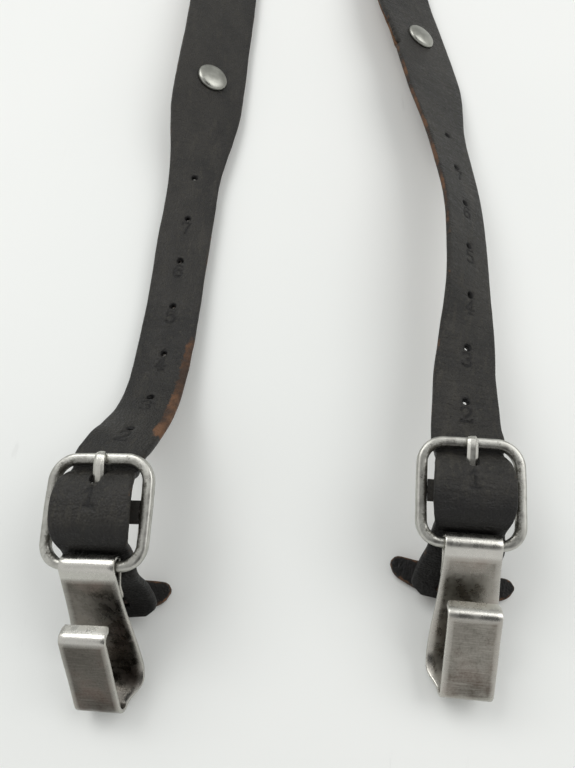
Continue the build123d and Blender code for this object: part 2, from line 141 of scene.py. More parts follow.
# ---- strap routes ----
class Route:
    """A smooth run through stations of (centre, across, width), walked by its length."""

    def __init__(self, stations, step):
        points = [Vector((*centre, *across, width)) for centre, across, width in stations]
        gaps = [max(1e-6, (b[0] - a[0]).length) for a, b in zip(stations, stations[1:])]
        ways = [(b - a) / gap for a, b, gap in zip(points, points[1:], gaps)]
        slopes = [(v * h + w * g) / (g + h) for v, w, g, h in zip(ways, ways[1:], gaps, gaps[1:])]
        slopes = ways[:1] + slopes + ways[-1:]
        self.rows = []
        for p, q, v, w, gap in zip(points, points[1:], slopes, slopes[1:], gaps):
            count = max(1, round(gap / step))
            for t in (k / count for k in range(count)):
                here = p * (1 + 2 * t) * (1 - t) ** 2 + q * t * t * (3 - 2 * t)
                here += (v * (1 - t) - w * t) * (t * (1 - t) * gap)
                self.rows.append((Vector(here[:3]), Vector(here[3:6]), here[6]))
        self.rows.append(stations[-1])
        self.length = [0]
        for a, b in zip(self.rows, self.rows[1:]):
            self.length.append(self.length[-1] + (b[0] - a[0]).length)

    def place(self, s):
        """Centre, across, along, up and width at length s."""
        s = min(max(s, 0), self.length[-1])
        i = min(bisect_right(self.length, s), len(self.length) - 1) - 1
        t = (s - self.length[i]) / (self.length[i + 1] - self.length[i])
        (c0, a0, w0), (c1, a1, w1) = self.rows[i], self.rows[i + 1]
        low, high = max(i - 1, 0), min(i + 2, len(self.rows) - 1)
        along_start = (self.rows[i + 1][0] - self.rows[low][0]).normalized()
        along_end = (self.rows[high][0] - self.rows[i][0]).normalized()
        along = (along_start * (1 - t) + along_end * t).normalized()
        across = a0 * (1 - t) + a1 * t
        across = (across - along * across.dot(along)).normalized()
        return c0 * (1 - t) + c1 * t, across, along, across.cross(along), w0 * (1 - t) + w1 * t

    def face_up(self, s, offset=0):
        centre, across, _, up, _ = self.place(s)
        return Plane(centre + up * offset, across, up)

    def at_least(self, measure):
        """The length at which a measure of the centre line is least."""
        return self.length[min(range(len(self.rows)), key=lambda i: measure(self.rows[i][0]))]

    def nearest(self, y):
        return self.at_least(lambda centre: abs(centre.y - y + MIDDLE_Y))

    def nearest_to(self, point):
        return self.at_least(lambda centre: (centre - point).length)

    def past(self, buckle, along):
        """The length at which the route passes a place along a buckle."""
        places = [(row[0] - buckle.origin).dot(buckle.y) for row in self.rows]
        i = next(k for k, at in enumerate(places) if at > along)
        share = (along - places[i - 1]) / (places[i] - places[i - 1])
        return self.length[i - 1] + (self.length[i] - self.length[i - 1]) * share


def table_station(before, here, after, roll, width):
    along = after - before
    level = Vector((along.y, -along.x, 0)).normalized()
    across = level * cos(radians(roll)) - UP * sin(radians(roll))
    return (here, across, width)


def buckle_plane(eye, yaw, pitch, roll):
    across = turned(turned(EAST, "Y", -roll), "Z", yaw)
    up_frame = turned(turned(turned(Vector((0, 1, 0)), "X", pitch), "Y", -roll), "Z", yaw)
    return Plane(eye + up_frame * HALF, across, across.cross(up_frame))


def loop_plane(angle):
    outward = turned(EAST, "Z", angle)
    origin = on_table(*RING_CENTRE) + outward * LOOP_REACH
    return Plane(origin, outward, outward.cross(UP))


def hook_plane(end, buckle):
    eye = buckle.at(end["hook_shift"], -HALF)
    drop = radians(end["hook_drop"])
    down_plate = buckle.y * -cos(drop) - buckle.z * sin(drop)
    return Plane(eye, down_plate, -buckle.x)


BUCKLE_RUN = (
    (-17.9, -6), (-14.8, -5.2), (-12.6, -2.4), (-11, 1.4), (-8.2, 4.6), (-4.2, 6.4), (0.5, 6.9),
    (5.4, 6.3), (9.2, 4.6), (11.9, 1.4), (13.6, -2.1), (16.6, -4.2), (20, -4.7),
)
LOOP_ARRIVAL = ((46, -1.5), (30, -1.5), (19, -1), (10.5, 2.6), (3.8, 5))
LOOP_RETURN = ((4, -5.2), (10, -4.85), (18, -4.6), (30, -4.6), (41, -4.6))

# The same stations as the CAD's straps: (x, y, height, roll, width).
ENDS = {
    "left": {
        "eye": (-66.1, -84.7, 37), "turn": (-3.2, 8.6, 8), "hook_drop": 42.3, "hook_shift": -0.4,
        "flap_width": 16.6, "tail": ((-60.8, -98.2, 6.6), (-61.6, -93.6, 9.8), (-63.2, -89.2, 16.4)),
        "tab": (-64.3, -88.8, -6), "tab_length": 39, "stem": (-61.8, -92.9),
        "run": (
            (-62.4, -41, 35, -11, 1.06), (-59.6, -31, 27, -11, 1.03), (-58, -21, 18.5, -10, 1.01),
            (-57, -10.5, 12, -8, 1), (-55.6, 3, 8.2, -6, 1), (-54.4, 17, 6.8, -4, 1),
            (-53, 37, 6, -2, 1), (-51.6, 60, 6, 2, 1), (-49.6, 86, 6.4, 6, 1),
            (-48, 109, 7.2, 10, 1.02), (-46.6, 125, 8.8, 15, 1.14), (-45, 141, 10.3, 20, 1.33),
            (-43.5, 158, 11.6, 24, 1.5), (-42, 179, 12.4, 27, 1.54), (-39.8, 212, 12.4, 28, 1.54),
            (-38.2, 242, 12, 26, 1.54), (-37, 290, 9.7, 19, 1.54), (-37.3, 340, 7.2, 12, 1.54),
            (-38.3, 395, 5.6, 4, 1.54), (-38.2, 445, 4.8, 0, 1.5), (-36.4, 485, 4.4, 0, 1.25),
            (-29.2, 514, 4.8, 0, 0.9),
        ),
        "loop_angle": -90 - LOOP_SPREAD, "rivets": (179, 436), "seed": 3,
    },
    "right": {
        "eye": (64.5, -76.4, 30.2), "turn": (-4.9, 9.9, 2.5), "hook_drop": 29.9, "hook_shift": 0.6,
        "flap_width": 18.2, "tail": ((58.8, -92, 5.8), (60, -87.4, 9), (62, -82.2, 15.2)),
        "tab": (63.2, -85, -12), "tab_length": 47.5, "stem": (59.4, -89.4),
        "run": (
            (68, -33, 30.8, 1, 1.06), (69.3, -22.7, 29.6, 4, 1.03), (71, -10, 28.2, 9, 1.01),
            (73.3, 2.3, 27.3, 14, 1), (75.4, 15, 27.2, 22, 1), (77.2, 27.4, 27.8, 30, 1),
            (79.6, 53.4, 28.6, 36, 1), (81.2, 78.3, 27, 36, 1), (81.2, 103.5, 23.4, 33, 1),
            (80.4, 128.7, 19.6, 30, 1.03), (80, 141, 17.8, 29, 1.13), (79.6, 157, 16, 28, 1.34),
            (79, 178, 14.2, 28, 1.54), (77.6, 194, 13, 28, 1.58), (75.3, 212, 12.6, 28, 1.58),
            (72.6, 228, 12.4, 27, 1.6), (69.8, 246, 11.8, 25, 1.58), (66.2, 295, 9.2, 17, 1.54),
            (65, 345, 6.9, 10, 1.54), (65.3, 400, 5.4, 4, 1.54), (66.4, 445, 4.8, 0, 1.5),
            (65.2, 485, 4.4, 0, 1.25), (59.6, 514, 4.8, 0, 0.9),
        ),
        "loop_angle": -90 + LOOP_SPREAD, "rivets": (211, 436), "seed": 17,
    },
    "rear": {
        "eye": (23, 937, 31), "turn": (183, 10, 3), "hook_drop": 30.6, "hook_shift": 0.2,
        "flap_width": 17.4, "tail": ((26, 951.6, 5.4), (25.2, 947, 8.8), (24.4, 942, 15.6)),
        "tab": (24.8, 944.6, 173), "tab_length": 45, "stem": (25.6, 949),
        "run": (
            (20.2, 893.5, 31, 3, 1.06), (19, 882, 26.6, 3, 1.02), (18, 868, 20, 2, 1),
            (17, 852, 12.6, 0, 1), (16, 834, 7, -2, 1), (15.4, 810, 4, -3, 1), (15, 775, 3.4, -2, 1),
            (15, 735, 3.2, 0, 1), (15, 700, 4.2, 0, 0.85),
        ),
        "loop_angle": 90, "rivets": (), "seed": 31,
    },
}


def strap_stations(end):
    """Stations from the tail through the buckle and up the strap, round the ring and back."""
    buckle = buckle_plane(on_table(*end["eye"]), *end["turn"])
    loop = loop_plane(end["loop_angle"])
    in_buckle = [buckle.at(0, along, out) for along, out in BUCKLE_RUN]
    run = [on_table(*station[:3]) for station in end["run"]]
    corners = in_buckle[-1:] + run + [loop.at(*LOOP_ARRIVAL[0])]
    tail = [on_table(*point) for point in end["tail"]]
    stations = [(point, buckle.x, TIP_WIDTH) for point in tail + in_buckle]
    for before, here, after, station in zip(corners, corners[1:], corners[2:], end["run"]):
        stations.append(table_station(before, here, after, station[3], station[4] * BILLET))
    round_ring = tuple(around(radians(turn)) * LOOP_RADIUS for turn in range(90, 271, 30))
    for out, up in LOOP_ARRIVAL + round_ring + LOOP_RETURN:
        stations.append((loop.at(out, up), -loop.z, LOOP_WIDTH))
    return stations, buckle, loop


# ---- shader nodes ----
class Shader:
    """A material or a world, with short ways to add nodes to it."""

    def __init__(self, name, kind="materials"):
        self.owner = getattr(bpy.data, kind).new(name)
        self.owner.use_nodes = True
        self.tree = self.owner.node_tree

    def put(self, value, socket):
        if isinstance(value, bpy.types.NodeSocket):
            self.tree.links.new(value, socket)
        else:
            socket.default_value = value

    def add(self, kind, inputs, **settings):
        node = self.tree.nodes.new("ShaderNode" + kind)
        for key, value in settings.items():
            setattr(node, key, value)
        for key, value in inputs.items():
            self.put(value, node.inputs[key])
        return node

    def finish(self, last="Principled BSDF", **values):
        """Sets the last node's inputs and gives the material or the world."""
        surface = self.tree.nodes[last]
        for key, value in values.items():
            self.put(value, surface.inputs[key.replace("_", " ")])
        return self.owner

    def attribute(self, name, output="Fac"):
        return self.add("Attribute", {}, attribute_name=name).outputs[output]

    def stretched(self, vector, scale, offset=(0, 0, 0)):
        inputs = {"Vector": vector, "Scale": scale, "Location": offset}
        return self.add("Mapping", inputs).outputs["Vector"]

    def noise(self, vector, scale, detail=4, roughness=0.5, distortion=0):
        inputs = {"Vector": vector, "Scale": scale, "Detail": detail}
        inputs |= {"Roughness": roughness, "Distortion": distortion}
        return self.add("TexNoise", inputs).outputs["Fac"]

    def maths(self, operation, a, b, clamp=False):
        return self.add("Math", {0: a, 1: b}, operation=operation, use_clamp=clamp).outputs[0]

    def times(self, a, b):
        return self.maths("MULTIPLY", a, b)

    def plus(self, a, b, clamp=False):
        return self.maths("ADD", a, b, clamp)

    def swayed(self, value, by, amount):
        """A value moved up and down by a noise."""
        return self.plus(value, self.times(self.maths("SUBTRACT", by, 0.5), amount))

    def ramp(self, value, low, high, to_low=0, to_high=1):
        inputs = {"Value": value, "From Min": low, "From Max": high, "To Min": to_low, "To Max": to_high}
        return self.add("MapRange", inputs, interpolation_type="SMOOTHSTEP").outputs["Result"]

    def mix(self, amount, a, b):
        return self.add("Mix", {0: amount, 6: a, 7: b}, data_type="RGBA").outputs[2]

    def over(self, base, colour, value, low, high, least=0, most=1):
        """A colour laid over another one where a value is high."""
        return self.mix(self.ramp(value, low, high, least, most), base, rgb(*colour))

    def bumps(self, *layers):
        """The normal after bumps given as (height, strength, distance), the finest last."""
        normal = None
        for height, strength, distance in layers:
            node = self.add("Bump", {"Height": height, "Strength": strength, "Distance": distance})
            if normal is not None:
                self.put(normal, node.inputs["Normal"])
            normal = node.outputs["Normal"]
        return normal


def rgb(*levels):
    """A colour from its 0-255 display values."""
    parts = [level / 255 for level in levels]
    return (*(p / 12.92 if p <= 0.04045 else ((p + 0.055) / 1.055) ** 2.4 for p in parts), 1)


def leather_material(name, seed, crease):
    """Old black-dyed leather: grain, creases, rubbed brown edges and a brown suede underside, with painted
    shade near-black in the buckle and on the openings' walls and rims.
    """
    m = Shader(name)
    strap_place = m.attribute("place", "Vector")
    flat = m.stretched(strap_place, (1, 1, 1), (seed, seed * 0.37, 0))
    grains = ((16, 3), (75, 5, 0.6), (620, 6, 0.65), (1900, 3, 0.7))
    large, middle, fine, speck = (m.noise(flat, *grain) for grain in grains)
    streaks = m.noise(m.stretched(flat, (0.25, 1, 1)), 300, 5, 0.65)
    tone = m.plus(m.times(large, 0.55), m.times(middle, 0.45))
    base = m.mix(m.ramp(tone, 0.36, 0.64), rgb(22, 21, 19), rgb(44, 42, 38))
    base = m.over(base, (62, 59, 51), streaks, 0.5, 0.72, 0, 0.5)
    base = m.over(base, (68, 66, 59), fine, 0.5, 0.7, 0, 0.6)
    base = m.over(base, (12, 11, 10), speck, 0.5, 0.66, 0, 0.75)
    # Painted shade: the first 44 mm of each strap, fading out by 53 mm, which is its tail and its run
    # through the buckle, is darkened towards near-black for the shade under the frame and hook. The stop
    # tab, whose lengths are all short, is darkened too.
    length = m.add("SeparateXYZ", {0: strap_place}).outputs[0]
    base = m.over(base, (6, 5, 5), length, 0.044, 0.053, 0.75, 0)
    ragged = m.swayed(m.swayed(m.attribute("wear_and_highlight"), fine, 0.9), middle, 0.8)
    wear_and_highlight = m.ramp(ragged, 0.48, 0.74)
    brown = m.mix(m.ramp(middle, 0.4, 0.62), rgb(58, 43, 33), rgb(104, 73, 50))
    base = m.mix(wear_and_highlight, base, brown)
    under = m.attribute("under")
    suede = m.mix(m.ramp(fine, 0.35, 0.65), rgb(62, 46, 35), rgb(98, 75, 57))
    base = m.mix(m.ramp(under, 0.4, 0.6), base, suede)
    # Near-black for the stamped digits, and for painted shade on the openings' walls and rims.
    base = m.mix(m.times(m.attribute("stamp_and_opening_shade"), 0.9), base, rgb(9, 8, 8))
    rough = m.plus(m.ramp(fine, 0.3, 0.7, 0.42, 0.66), m.times(wear_and_highlight, 0.2))
    rough = m.plus(rough, m.times(under, 0.25), True)
    grain = m.add("TexVoronoi", {"Vector": flat, "Scale": 1150}).outputs["Distance"]
    creases = m.noise(m.stretched(flat, (1, 0.22, 1)), 520, 5, 0.62, 0.6)
    folds = m.noise(m.stretched(flat, (1, 0.3, 1)), 120, 3, 0.5, 0.4)
    normal = m.bumps(
        (folds, min(1, 0.5 * crease), 0.0016), (creases, min(1, 0.6 * crease), 0.0009),
        (grain, 0.8, 0.0003), (speck, 0.5, 0.00016),
    )
    return m.finish(Base_Color=base, Roughness=rough, Specular_IOR_Level=0.36, Normal=normal)


def steel_material(name, colours, rough, scratch=(1, 1, 1), rust=0, spread=1):
    """Worn steel: whitened by wear and by painted highlights, and darkened by patina and by painted shade.
    """
    m = Shader(name)
    bright, middle, dark = (rgb(*colour) for colour in colours)
    place = m.attribute("place", "Vector")
    grains = ((60, 4, 0.6), (240, 5, 0.65), (1300, 5, 0.7))
    large, cloud, fine = (m.noise(place, *grain) for grain in grains)
    lines = m.noise(m.stretched(place, scratch), 2400, 3, 0.6)
    wear_and_highlight = m.attribute("wear_and_highlight")
    blotch = m.plus(m.times(large, 0.5), m.times(cloud, 0.5))
    base = m.mix(m.ramp(blotch, 0.38, 0.62), middle, bright)
    base = m.mix(m.ramp(fine, 0.5, 0.74, 0, 0.45), base, middle)
    # The darkening attribute carries both patina and painted shade.
    grime_and_shade = m.swayed(m.swayed(m.attribute("patina_and_shade"), cloud, 1.5 * spread), fine, 0.8 * spread)
    grimed_and_shaded = m.ramp(m.maths("SUBTRACT", grime_and_shade, m.times(wear_and_highlight, 0.6)), 0.38, 0.86)
    base = m.mix(grimed_and_shaded, base, dark)
    if rust:
        base = m.mix(m.times(m.ramp(large, 0.45, 0.7), rust), base, rgb(132, 106, 96))
        base = m.mix(m.times(m.ramp(lines, 0.45, 0.65), 0.35), base, bright)
    # Near-white for wear and for painted highlights.
    base = m.mix(m.times(wear_and_highlight, 0.75), base, rgb(216, 215, 208))
    roughness = m.ramp(cloud, 0.3, 0.7, rough - 0.07, rough + 0.09)
    roughness = m.plus(roughness, m.times(grimed_and_shaded, 0.22), True)
    normal = m.bumps((cloud, 0.25 * spread, 0.00035 * spread), (fine, 0.3, 0.00012), (lines, 0.25, 0.00006))
    return m.finish(Base_Color=base, Roughness=roughness, Metallic=1, Normal=normal)


def suede_material(name, seed):
    """The raw flesh side of brown leather."""
    m = Shader(name)
    flat = m.stretched(m.attribute("place", "Vector"), (1, 1, 1), (seed, 0.2, 0))
    cloud = m.noise(flat, 60, 5, 0.6)
    nap = m.noise(flat, 900, 6, 0.7)
    base = m.mix(m.ramp(cloud, 0.36, 0.64), rgb(70, 50, 37), rgb(108, 81, 60))
    base = m.over(base, (132, 104, 80), nap, 0.45, 0.7, 0, 0.5)
    rough = m.ramp(nap, 0.3, 0.7, 0.82, 0.97)
    normal = m.bumps((cloud, 0.3, 0.0008), (nap, 0.6, 0.0004))
    return m.finish(Base_Color=base, Roughness=rough, Specular_IOR_Level=0.2, Normal=normal)


# ---- meshes ----
def new_piece(prefix, names, verts, faces, places, values, look, sharp=None):
    """Makes one visible piece; names are its own, its CAD body's and its CAD node's."""
    name, body, node = (prefix + word for word in names)
    mesh = bpy.data.meshes.new(name)
    mesh.from_pydata([tuple(p * 0.001) for p in verts], [], faces)
    mesh.validate()
    shape = bmesh.new()
    shape.from_mesh(mesh)
    bmesh.ops.recalc_face_normals(shape, faces=shape.faces)
    shape.to_mesh(mesh)
    shape.free()
    for key, numbers in values.items():
        mesh.attributes.new(key, "FLOAT", "POINT").data.foreach_set("value", numbers)
    layer = mesh.attributes.new("place", "FLOAT_VECTOR", "POINT")
    layer.data.foreach_set("vector", [c * 0.001 for place in places for c in place])
    mesh.shade_smooth()
    if sharp is not None:
        mesh.set_sharp_from_angle(angle=radians(sharp))
    mesh.materials.append(look)
    piece = in_scene(name, mesh)
    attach(piece, body)
    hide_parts(node)


def in_scene(name, data):
    thing = bpy.data.objects.new(name, data)
    bpy.context.scene.collection.objects.link(thing)
    return thing


def smooth(value):
    value = min(max(value, 0), 1)
    return value * value * (3 - 2 * value)


def between(value, low, high):
    """How far value is from low to high, as a smooth share."""
    return smooth((value - low) / (high - low))


def wander(x, y, z, scale, amount):
    """A repeatable wander of a surface, in millimetres."""
    return noise.noise(Vector((x, y, z)) / scale) * amount


def round_end(distance, radius):
    """How much each side of a strip draws in near its end, for rounded corners."""
    if distance >= radius:
        return 0
    return radius - sqrt(max(0, radius * radius - (radius - distance) ** 2))


# Each digit as strokes, in hundredths of its height, in a box 100 high and about 90 wide.
DIGITS = {
    1: (((-34, 72), (0, 100), (0, 0)), ((-34, 0), (36, 0))),
    2: (((-42, 74), (-34, 93), (-8, 100), (22, 97), (40, 80), (37, 60), (10, 37), (-25, 14), (-45, 0),
         (46, 0), (46, 13)),),
    3: (((-40, 86), (-15, 100), (20, 97), (38, 78), (25, 58), (0, 52), (30, 45), (42, 25), (30, 6),
         (0, 0), (-30, 4), (-43, 17)),),
    4: (((16, 0), (16, 100), (-45, 30), (43, 30)), ((-8, 0), (38, 0))),
    5: (((36, 100), (-32, 100), (-36, 55), (-10, 64), (20, 60), (42, 40), (40, 18), (20, 2), (-10, 0),
         (-40, 12)),),
    6: (((35, 90), (10, 100), (-20, 90), (-40, 60), (-43, 30), (-30, 6), (0, 0), (30, 8), (42, 30),
         (30, 52), (5, 58), (-25, 50), (-42, 30)),),
    7: (((-42, 86), (-42, 100), (42, 100), (12, 50), (-4, 0)),),
}
DIGIT_HEIGHT = 6.4
DIGIT_SQUEEZE = 0.72  # how narrow the digits are
DIGIT_OFFSET = 5.9
STROKE = 0.92


def stroke_depth(digit, x, y):
    """How deep the stamp goes at a point given in millimetres from the digit's middle."""
    nearest = 9
    u, v = x / DIGIT_HEIGHT / DIGIT_SQUEEZE, y / DIGIT_HEIGHT + 0.5
    for stroke in DIGITS[digit]:
        points = [(a / 100, b / 100) for a, b in stroke]
        for (x0, y0), (x1, y1) in zip(points, points[1:]):
            ax, ay = (u - x0) * DIGIT_SQUEEZE, v - y0
            bx, by = (x1 - x0) * DIGIT_SQUEEZE, y1 - y0
            t = min(max((ax * bx + ay * by) / (bx * bx + by * by), 0), 1)
            nearest = min(nearest, hypot(ax - bx * t, ay - by * t))
    return smooth(1 - nearest * DIGIT_HEIGHT / STROKE)


FINE = 0.36  # spacing of the mesh at the holes and digits
INNER = 13  # fine columns each side of the strap's middle
OUTER = 6  # coarse columns from there to each edge
EDGE_ROUND = 0.9


class StrapMesh:
    """A strap as a closed sheet: top, underside, rounded edges and punched openings."""

    def __init__(self, route, thickness, profile, width_change, offset=0):
        self.route = route
        self.half = thickness / 2
        self.profile = profile
        self.width_change = width_change
        self.offset = offset
        self.verts, self.faces, self.places = [], [], []
        self.values = {"wear_and_highlight": [], "under": [], "stamp_and_opening_shade": []}

    def reach(self, s, side):
        """Half width towards one side, with the tip's round corners and the worn outline."""
        return self.route.place(s)[4] / 2 + self.width_change(s, side)

    def column(self, j, s):
        """Distance from the strap's middle of column j, at length s."""
        side, k = (1 if j > 0 else -1), abs(j)
        outer = self.reach(s, side) - EDGE_ROUND
        if k <= INNER:
            return side * k * FINE * min(1, outer / (INNER * FINE + 1))
        inner = min(INNER * FINE, outer - 1) if outer > 2 else outer * 0.6
        return side * (inner + (outer - inner) * (k - INNER) / OUTER)

    def vertex(self, s, t, height, level):
        """Adds a point at length s and t across; level is 1 on top, -1 below and 0 at an edge."""
        centre, across, _, up, width = self.route.place(s)
        drop, stamp_and_opening_shade, wear = self.profile(s, t, level, width)
        self.verts.append(centre + across * t + up * (self.offset + height - drop))
        self.places.append((s, t, height))
        for key, value in (("wear_and_highlight", wear), ("under", float(level < 0)), ("stamp_and_opening_shade", stamp_and_opening_shade)):
            self.values[key].append(value)
        return len(self.verts) - 1

    def add(self, face, flipped):
        self.faces.append(face[::-1] if flipped else face)

    def build(self, rows, openings):
        last = INNER + OUTER
        blocked, cells = set(), set()
        for i0, i1, _, reach, _, _ in openings:
            blocked |= {(i, j) for i in range(i0 + 1, i1) for j in range(1 - reach, reach)}
            cells |= {(i, j) for i in range(i0, i1) for j in range(-reach, reach)}
        top, low, sides = {}, {}, {1: [], -1: []}
        for i, s in enumerate(rows):
            for j in range(-last, last + 1):
                if (i, j) not in blocked:
                    t = self.column(j, s)
                    top[i, j] = self.vertex(s, t, self.half, 1)
                    low[i, j] = self.vertex(s, t, -self.half, -1)
            for side, edge in sides.items():
                reach = self.reach(s, side)
                round_edge = ((0.3, 0.84), (0.03, 0.4), (0.03, -0.4), (0.3, -0.84))
                edge.append([self.vertex(s, side * (reach - inset), self.half * height, 0)
                             for inset, height in round_edge])
        for i in range(len(rows) - 1):
            for j in range(-last, last):
                if (i, j) not in cells:
                    self.add((top[i, j], top[i, j + 1], top[i + 1, j + 1], top[i + 1, j]), False)
                    self.add((low[i, j], low[i, j + 1], low[i + 1, j + 1], low[i + 1, j]), True)
            for side, edge in sides.items():
                a, b = ([top[n, side * last]] + edge[n] + [low[n, side * last]] for n in (i, i + 1))
                for k in range(len(a) - 1):
                    self.add((a[k], a[k + 1], b[k + 1], b[k]), side < 0)
        for i, flip in ((0, False), (len(rows) - 1, True)):
            for j in range(-last, last):
                self.add((low[i, j], low[i, j + 1], top[i, j + 1], top[i, j]), flip)
            for side, edge in sides.items():
                fan = [top[i, side * last], low[i, side * last]] + edge[i][::-1]
                self.add(fan, flip == (side > 0))
        for opening in openings:
            self.cut(rows, top, low, opening)

    def cut(self, rows, top, low, opening):
        """Fills the block of cells round an opening with rings that end on the opening's edge."""
        i0, i1, s0, reach, edge, closing = opening
        border = [(i0, j) for j in range(-reach, reach)] + [(i, reach) for i in range(i0, i1)]
        border += [(i1, j) for j in range(reach, -reach, -1)] + [(i, -reach) for i in range(i1, i0, -1)]
        outer = [(rows[i] - s0, self.column(j, rows[i])) for i, j in border]
        inner = [edge(*point) for point in outer]

        def ring(share, closed, height, level):
            """Points a share of the way from the block's border to the opening's edge."""
            points = []
            for (ds, t), (es, et) in zip(outer, inner):
                s, across = ds + (es * closed - ds) * share, t + (et * closed - t) * share
                points.append(self.vertex(s0 + s, across, height, level))
            return points

        above, below = [[top[key] for key in border]], [[low[key] for key in border]]
        for share in (0.35, 0.65, 0.88):
            above.append(ring(share, 1, self.half - 0.16 * share ** 3, 1))
            below.append(ring(share, 1 - closing, -self.half, -1))
        for share, height in ((0, self.half - 0.42), (0.6, 0), (1, 0.15 - self.half)):
            above.append(ring(1, 1 - closing * share, height, 0))
        rings = above + below[::-1]
        for a, b in zip(rings, rings[1:]):
            for k in range(len(border)):
                n = (k + 1) % len(border)
                self.faces.append((a[n], b[n], b[k], a[k]))

    def piece(self, side, names, look, slot):
        new_piece(side + "_", names, self.verts, self.faces, self.places, self.values, look)


def slot_hole(half_length, half_width):
    """The edge of a slot along the strap, or of a round hole, towards a point of its block."""
    straight = half_length - half_width

    def edge(ds, t):
        middle = min(max(ds, -straight), straight) * 0.92
        size = hypot(ds - middle, t)
        return middle + (ds - middle) / size * half_width, t / size * half_width
    return edge


def slit_hole(half_along, half_across):
    def edge(ds, t):
        size = max(abs(ds) / half_along, abs(t) / half_across)
        return ds / size, t / size
    return edge


# Each kind of opening: rows and columns each side of its middle, its edge, how far it closes below.
OPENINGS = {
    "slit": (5, 12, slit_hole(STEM_WIDTH / 2 + 0.2, STEM_LENGTH / 2 + 0.2), 0),
    "slot": (13, 6, slot_hole(SLOT_LENGTH / 2 - 0.5, SLOT_WIDTH / 2 - 0.15), 0),
    "hole": (6, 6, slot_hole(HOLE_RADIUS, HOLE_RADIUS), 0.55),
    "rivet": (6, 6, slot_hole(POST_RADIUS, POST_RADIUS), 0),
}


def fine_span(at, kind):
    half = OPENINGS[kind][0]
    return at - half * FINE, at + half * FINE, 2 * half


def opening(rows, at, kind):
    """An opening's first and last row, length, columns each side, edge and closing."""
    low, high, _ = fine_span(at, kind)
    i0, i1 = (min(range(len(rows)), key=lambda i: abs(rows[i] - s)) for s in (low, high))
    return (i0, i1, at) + OPENINGS[kind][1:]


def spaced_rows(start, end, coarse, spans):
    """Lengths from start to end, with spans' own counts of rows within them and coarse elsewhere."""
    rows = []
    for low, high, count in sorted(spans) + [(end, end, 0)]:
        if low - start > 0.01:
            parts = max(1, round((low - start) / coarse))
            rows += [start + (low - start) * k / parts for k in range(parts)]
        rows += [low + (high - low) * k / count for k in range(count)]
        start = high
    return rows + [end]


def make_strap(side, end, route, buckle, rivets, look):
    seed = end["seed"]
    prong = route.past(buckle, TONGUE_HOLE)
    bulge = route.past(buckle, 0)
    holes = [prong + FIRST_HOLE + k * PITCH for k in range(HOLES)]
    digits = [(1, prong - 8.8)] + [(k + 2, at - DIGIT_OFFSET) for k, at in enumerate(holes[:-1])]
    slit = route.nearest_to(on_table(*end["stem"], end["tail"][1][2]))
    total = route.length[-1]

    def width_change(s, way):
        """How the cut outline leaves the CAD's: round ends, a bulge in the buckle, wear and a tear."""
        change = -round_end(s + 0.15, 5.5) - round_end(total - s + 0.1, 3)
        change += 0.8 * smooth(1.35 - abs(s - bulge) / 8.5)
        for bar in (bulge + 17, bulge - 16):
            change -= 0.9 * smooth(1.4 - abs(s - bar) / 5)
        change += wander(s, way * 40, seed, 26, 0.35) + wander(s, way * 40, seed, 7, 0.16)
        if side == "right" and way < 0:
            y = route.place(s)[0].y + MIDDLE_Y
            torn = between(y, 193, 200) * between(y, 232, 220)
            change += torn * (wander(s, 3, seed, 3.2, 1.1) + wander(s, 9, seed, 1.4, 0.5) - 0.9)
            change -= 1.6 * between(y, 196, 199) * between(y, 206, 200)
        return min(change, 0.95)

    def profile(s, t, level, width):
        """How far the surface sinks; how dark it is painted, for the stamped digits and for painted shade
        at the openings; and how worn the leather is there.
        """
        edge = abs(t) / max(1, width / 2)
        calm = 0.3 + 0.7 * between(s, 52, 66)
        drop = (wander(s, t, seed, 9, 0.16) + wander(s, t, seed + 5, 30, 0.2)) * calm
        stamp_and_opening_shade = 0
        if level == 0:
            drop = 0
        elif level < 0:
            drop *= -0.4
        else:
            for digit, at in digits:
                if abs(s - at) < 4.4 and abs(t) < 4.4:
                    stamp_and_opening_shade = stroke_depth(digit, t, s - at)
                    drop += 0.45 * stamp_and_opening_shade
            for at in holes:
                near = hypot(s - at, t)
                drop += 0.28 * between(near, 3.4, 1.4)
                # Painted shade: a dark ring on each hole's sloping rim.
                stamp_and_opening_shade = max(stamp_and_opening_shade, between(near, 2.1, 1.5) * 0.8)
        y = route.place(s)[0].y + MIDDLE_Y
        wear = between(edge, 0.9, 1) * 0.34
        if level == 0:
            wear = 0.44
            # Painted shade: the walls of the openings are near-black and have no brown wear, standing for
            # the shade inside them.
            if abs(t) < width / 2 - 4:
                return drop, 1, 0
        if side == "left" and t > 0:
            rub = between(y, -40, -32) * between(y, 30, 10)
            wear = max(wear, rub * between(t, 6, 11.5) * 0.95)
        if side == "right" and t < 0 and y > 60:
            wear = max(wear, between(edge, 0.95, 1) * 0.72 * between(y, 250, 220))
        return drop, stamp_and_opening_shade, wear

    cuts = [(slit, "slit"), (prong, "slot")] + [(at, "hole") for at in holes]
    cuts += [(at, "rivet") for at in rivets]
    spans = [fine_span(at, kind) for at, kind in cuts]
    for digit, at in digits:
        low, high = at - DIGIT_HEIGHT / 2 - 0.8, at + DIGIT_HEIGHT / 2 + 0.8
        for start, stop, _ in [fine_span(prong, "slot")] + [fine_span(at, "hole") for at in holes]:
            if low < stop and high > start:
                high = start
        spans.append((low, high, max(2, round((high - low) / FINE))))
    rows = spaced_rows(0, total, 1.7, spans)
    mesh = StrapMesh(route, LEATHER, profile, width_change)
    mesh.build(rows, [opening(rows, at, kind) for at, kind in sorted(cuts)])
    mesh.piece(side, ("strap_leather", "strap", "strap"), look, "black_leather")


